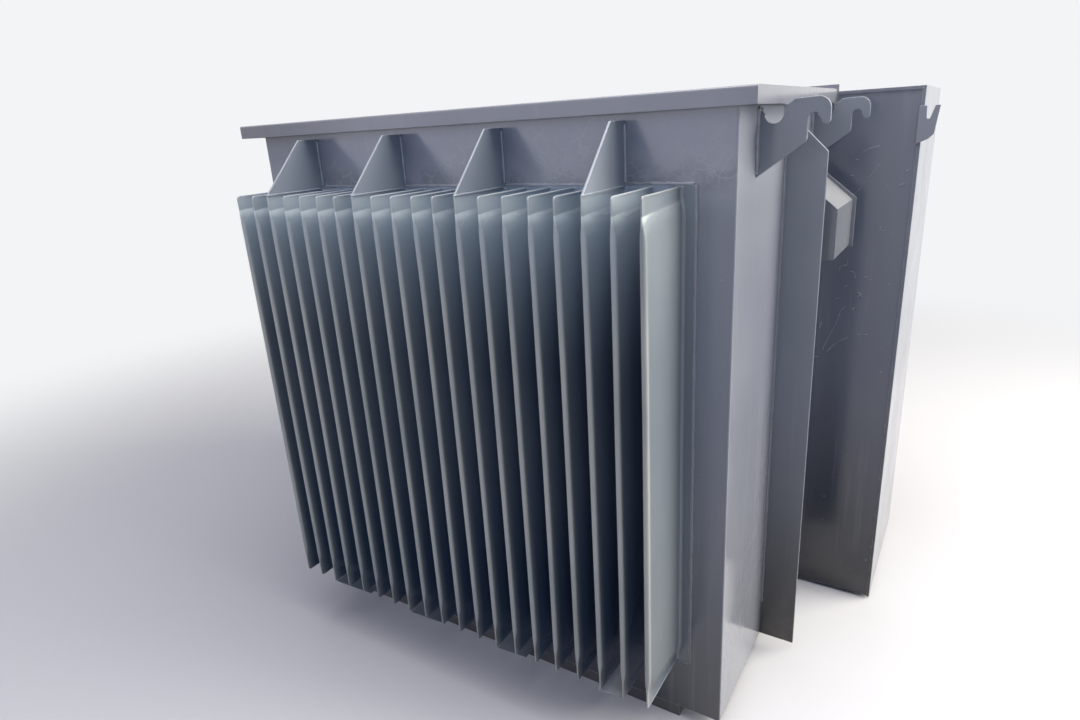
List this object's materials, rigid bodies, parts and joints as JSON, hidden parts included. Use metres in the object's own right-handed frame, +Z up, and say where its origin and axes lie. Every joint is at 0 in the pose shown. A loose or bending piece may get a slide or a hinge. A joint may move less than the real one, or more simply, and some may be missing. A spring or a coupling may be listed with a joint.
{
  "type": "power transformer",
  "caption": "Pad-standing oil transformer: tank with a wall of pressed cooling fins, lifting lugs and gussets, and a closed cable cabinet behind it.",
  "frame": {"origin": "on the ground, under the middle of the whole transformer's box", "axes": "+X along the finned wall to the right, +Y from the fins to the cabinet, +Z up"},
  "size_m": [1.902, 1.445, 1.512],
  "materials": {
    "tank_enamel": "glossy dark green-grey enamel on rolled sheet, dusty, with fine streaks",
    "fin_enamel": "glossy dark green-grey enamel on pressed sheet",
    "lid_enamel": "glossy dark green-grey enamel, weathered",
    "cabinet_enamel": "glossy dark green-grey enamel, dusty",
    "plate_enamel": "glossy dark green-grey enamel on cut plate",
    "base_enamel": "dark enamel with splashed dirt",
    "hinge_steel": "painted steel",
    "handle_steel": "dull steel"
  },
  "bodies": {
    "root": {"tank": "tank_enamel", "front_fin_panel": "fin_enamel", "top_gusset_1": "plate_enamel", "top_gusset_2": "plate_enamel", "top_gusset_3": "plate_enamel", "top_gusset_4": "plate_enamel", "bottom_gusset_1": "plate_enamel", "bottom_gusset_2": "plate_enamel", "bottom_gusset_3": "plate_enamel", "bottom_gusset_4": "plate_enamel", "tank_lid": "lid_enamel", "lid_seam_flange": "lid_enamel", "right_near_lifting_lug": "plate_enamel", "right_far_lifting_lug": "plate_enamel", "left_near_lifting_lug": "plate_enamel", "left_far_lifting_lug": "plate_enamel", "right_side_plate": "plate_enamel", "left_side_plate": "plate_enamel", "wiring_hood": "plate_enamel", "front_base_rail": "base_enamel", "rear_base_rail": "base_enamel", "cabinet_back_sheet": "cabinet_enamel", "cabinet_right_side": "cabinet_enamel", "cabinet_left_side": "cabinet_enamel", "cabinet_roof": "cabinet_enamel", "cabinet_sill": "base_enamel", "right_door": "cabinet_enamel", "left_door": "cabinet_enamel", "right_hinges": "hinge_steel", "left_hinges": "hinge_steel", "door_handle": "handle_steel", "right_cabinet_hook": "plate_enamel", "left_cabinet_hook": "plate_enamel"}
  },
  "joints": []
}
